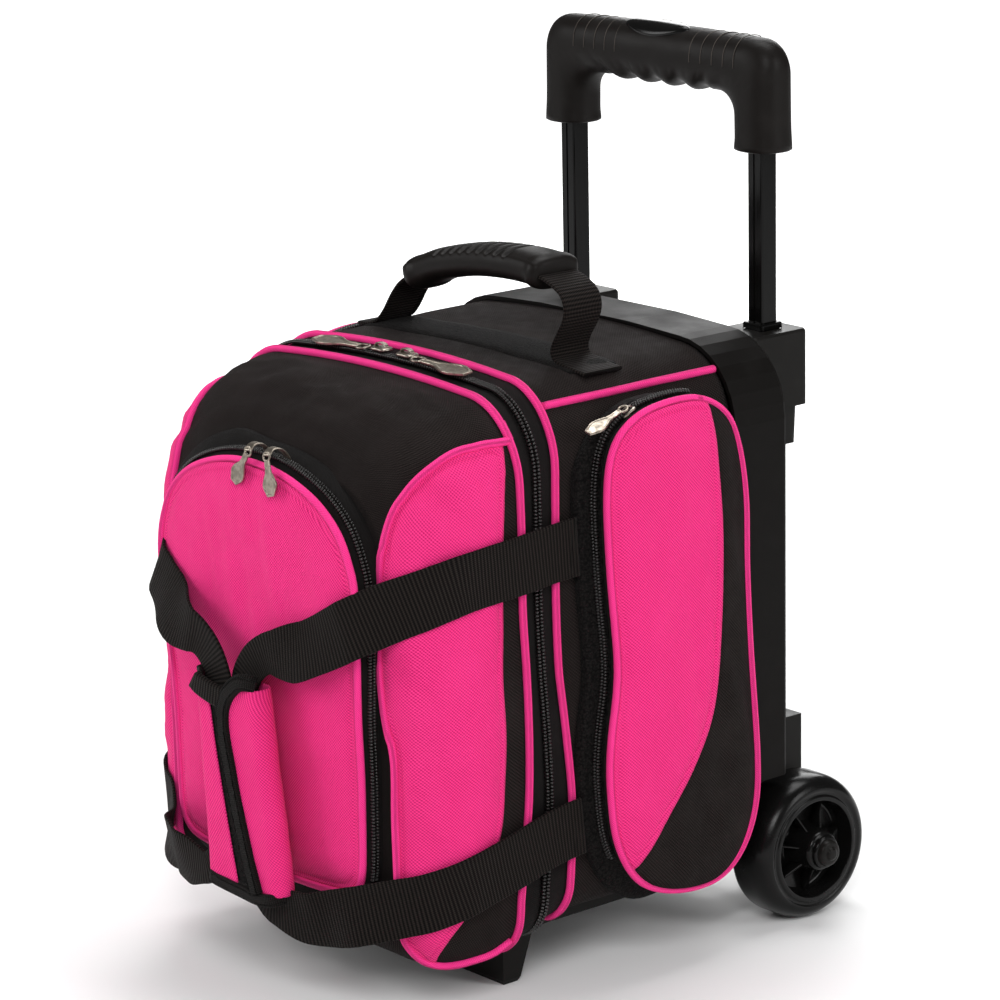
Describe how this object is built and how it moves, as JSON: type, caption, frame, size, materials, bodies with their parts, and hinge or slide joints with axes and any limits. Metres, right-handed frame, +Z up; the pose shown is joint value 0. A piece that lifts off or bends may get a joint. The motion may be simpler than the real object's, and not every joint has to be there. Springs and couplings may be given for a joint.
{
  "type": "bowling ball bag",
  "caption": "Upright roller bag for a bowling ball: fabric clamshell on a back frame, telescopic pull handle, carry handle, wheels, feet, zipped pockets, webbing straps with a hand wrap.",
  "frame": {"origin": "on the floor, at mid-width and midway between the hand wrap's front and the wheels' back", "axes": "+Z up along the handle tubes; +X across the bag along the axle, to the right seen from the front; -Y towards the front pocket, +Y towards the wheels and handle"},
  "size_m": [0.3424, 0.4356, 0.6066],
  "materials": {
    "black_fabric": "black polyester twill over stiff foam panels",
    "pink_fabric": "hot pink polyester twill",
    "pink_piping": "pink piping cord cover",
    "black_webbing": "black ribbed polypropylene webbing",
    "zip_tape": "woven black zipper tape and pocket edging",
    "moulded_black": "moulded black plastic, fine texture",
    "soft_grip": "soft-touch black rubber",
    "gloss_black": "gloss black moulded plastic",
    "tube_black": "gloss black painted aluminium",
    "wheel_tread": "hard black polyurethane tread",
    "axle_steel": "plain steel",
    "spring_steel": "spring wire",
    "pull_metal": "pewter-toned cast metal",
    "foam_grey": "dense grey foam"
  },
  "bodies": {
    "bag": {"back_frame": "moulded_black", "base_board": "moulded_black", "axle": "axle_steel", "rear_body_shell": "black_fabric", "rear_rim_piping": "pink_piping", "rear_zipper_tape": "zip_tape", "ball_cup": "foam_grey", "front_foot_left": "moulded_black", "front_foot_right": "moulded_black", "lower_bracket_left": "moulded_black", "lower_bracket_right": "moulded_black", "tube_socket_left": "moulded_black", "tube_socket_right": "moulded_black", "outer_tube_left": "tube_black", "outer_tube_right": "tube_black", "side_pocket_gusset_left": "zip_tape", "side_pocket_gusset_right": "zip_tape"},
    "mid_stage": {"mid_tube_left": "tube_black", "mid_tube_right": "tube_black"},
    "inner_stage": {"inner_tube_left": "tube_black", "inner_tube_right": "tube_black", "grip_upper_shell": "soft_grip", "grip_lower_shell": "soft_grip", "button_spring": "spring_steel"},
    "release_button": {"release_button": "moulded_black"},
    "release_yoke": {"release_yoke": "axle_steel"},
    "lock_pin_left": {"lock_pin_left": "axle_steel"},
    "lock_pin_right": {"lock_pin_right": "axle_steel"},
    "wheel_left": {"tyre_left": "wheel_tread", "wheel_rim_left": "gloss_black", "hub_cap_left": "gloss_black"},
    "wheel_right": {"tyre_right": "wheel_tread", "wheel_rim_right": "gloss_black", "hub_cap_right": "gloss_black"},
    "strap_right": {"strap_right": "black_webbing"},
    "strap_left": {"strap_left": "black_webbing", "hand_wrap": "pink_fabric"},
    "front_half": {"front_body_shell": "black_fabric", "front_rim_piping": "pink_piping", "front_zipper_tape": "zip_tape", "front_pocket_gusset": "zip_tape"},
    "front_flap": {"front_pocket_flap": "pink_fabric", "front_pocket_piping": "pink_piping", "front_slider_left": "pull_metal", "front_slider_right": "pull_metal"},
    "front_pull_left": {"front_pull_left": "pull_metal"},
    "front_pull_right": {"front_pull_right": "pull_metal"},
    "side_flap_left": {"side_pocket_flap_left": "pink_fabric", "side_slider_left": "pull_metal"},
    "side_flap_right": {"side_pocket_flap_right": "pink_fabric", "side_slider_right": "pull_metal"},
    "side_pull_left": {"side_pull_left": "pull_metal"},
    "side_pull_right": {"side_pull_right": "pull_metal"},
    "carry_handle": {"carry_grip": "soft_grip", "carry_webbing": "black_webbing"},
    "main_slider_left": {"main_slider_left": "pull_metal"},
    "main_slider_right": {"main_slider_right": "pull_metal"},
    "main_pull_left": {"main_pull_left": "pull_metal"},
    "main_pull_right": {"main_pull_right": "pull_metal"}
  },
  "joints": [
    {"name": "handle_lower_stage", "type": "slide", "parent": "bag", "child": "mid_stage", "axis": [0, 0, 1], "range_m": [0, 0.24]},
    {"name": "handle_upper_stage", "type": "slide", "parent": "mid_stage", "child": "inner_stage", "axis": [0, 0, 1], "range_m": [-0.1165, 0.125]},
    {"name": "release_press", "type": "slide", "parent": "inner_stage", "child": "release_button", "axis": [0, 0, 1], "range_m": [-0.004, 0], "stiffness_N_per_m": 900, "springref_m": 0.001, "deforming": ["button_spring"]},
    {"name": "release_yoke_slide", "type": "slide", "parent": "inner_stage", "child": "release_yoke", "axis": [0, 0, 1], "range_m": [-0.004, 0]},
    {"name": "lock_pin_left_slide", "type": "slide", "parent": "inner_stage", "child": "lock_pin_left", "axis": [-1, 0, 0], "range_m": [-0.002, 0]},
    {"name": "lock_pin_right_slide", "type": "slide", "parent": "inner_stage", "child": "lock_pin_right", "axis": [1, 0, 0], "range_m": [-0.002, 0]},
    {"name": "wheel_left_roll", "type": "hinge", "parent": "bag", "child": "wheel_left", "pos_m": [-0.1442, 0.17, 0.0508], "axis": [1, 0, 0], "continuous": true},
    {"name": "wheel_right_roll", "type": "hinge", "parent": "bag", "child": "wheel_right", "pos_m": [0.1442, 0.17, 0.0508], "axis": [1, 0, 0], "continuous": true},
    {"name": "straps_part", "type": "hinge", "parent": "bag", "child": "strap_right", "pos_m": [0.1515, -0.0345, 0.2085], "axis": [0, 0, 1], "range_deg": [0, 90]},
    {"name": "strap_left_swing", "type": "hinge", "parent": "bag", "child": "strap_left", "pos_m": [-0.1515, -0.0345, 0.2085], "axis": [0, 0, -1], "range_deg": [0, 90]},
    {"name": "front_half_open", "type": "hinge", "parent": "bag", "child": "front_half", "pos_m": [0, -0.0752, 0.0355], "axis": [1, 0, 0], "range_deg": [0, 24]},
    {"name": "front_pocket_open", "type": "hinge", "parent": "front_half", "child": "front_flap", "pos_m": [0, -0.1737, 0.085], "axis": [1, 0, 0], "range_deg": [0, 18]},
    {"name": "front_pull_left_swing", "type": "hinge", "parent": "front_flap", "child": "front_pull_left", "pos_m": [-0.009, -0.1695, 0.3612], "axis": [-1, 0, 0], "range_deg": [0, 150]},
    {"name": "front_pull_right_swing", "type": "hinge", "parent": "front_flap", "child": "front_pull_right", "pos_m": [0.024, -0.1695, 0.3612], "axis": [-1, 0, 0], "range_deg": [0, 150]},
    {"name": "side_pocket_left_open", "type": "hinge", "parent": "bag", "child": "side_flap_left", "pos_m": [-0.1605, 0.1075, 0.22], "axis": [0, 0, -1], "range_deg": [0, 60]},
    {"name": "side_pocket_right_open", "type": "hinge", "parent": "bag", "child": "side_flap_right", "pos_m": [0.1605, 0.1075, 0.22], "axis": [0, 0, 1], "range_deg": [0, 60]},
    {"name": "side_pull_left_swing", "type": "hinge", "parent": "side_flap_left", "child": "side_pull_left", "pos_m": [-0.156, 0.0004, 0.3902], "axis": [-1, 0, 0], "range_deg": [0, 150]},
    {"name": "side_pull_right_swing", "type": "hinge", "parent": "side_flap_right", "child": "side_pull_right", "pos_m": [0.156, 0.0004, 0.3902], "axis": [-1, 0, 0], "range_deg": [0, 150]},
    {"name": "carry_handle_tilt", "type": "hinge", "parent": "bag", "child": "carry_handle", "pos_m": [0, 0.018, 0.404], "axis": [1, 0, 0], "range_deg": [-35, 35], "deforming": ["carry_webbing"]},
    {"name": "main_zip_left_run", "type": "slide", "parent": "bag", "child": "main_slider_left", "axis": [-1, 0, 0], "range_m": [0, 0.05]},
    {"name": "main_zip_right_run", "type": "slide", "parent": "bag", "child": "main_slider_right", "axis": [1, 0, 0], "range_m": [0, 0.05]},
    {"name": "main_pull_left_lift", "type": "hinge", "parent": "main_slider_left", "child": "main_pull_left", "pos_m": [-0.025, -0.06, 0.4132], "axis": [0, 1, 0], "range_deg": [0, 100]},
    {"name": "main_pull_right_lift", "type": "hinge", "parent": "main_slider_right", "child": "main_pull_right", "pos_m": [0.022, -0.06, 0.4132], "axis": [0, -1, 0], "range_deg": [0, 100]}
  ],
  "couplings": [
    {"joint": "release_yoke_slide", "follows": "release_press", "ratio": 1},
    {"joint": "lock_pin_left_slide", "follows": "release_press", "ratio": 0.5},
    {"joint": "lock_pin_right_slide", "follows": "release_press", "ratio": 0.5},
    {"joint": "strap_left_swing", "follows": "straps_part", "ratio": 1},
    {"joint": "front_half_open", "follows": "straps_part", "ratio": 0.26667},
    {"joint": "front_pocket_open", "follows": "straps_part", "ratio": 0.2}
  ]
}
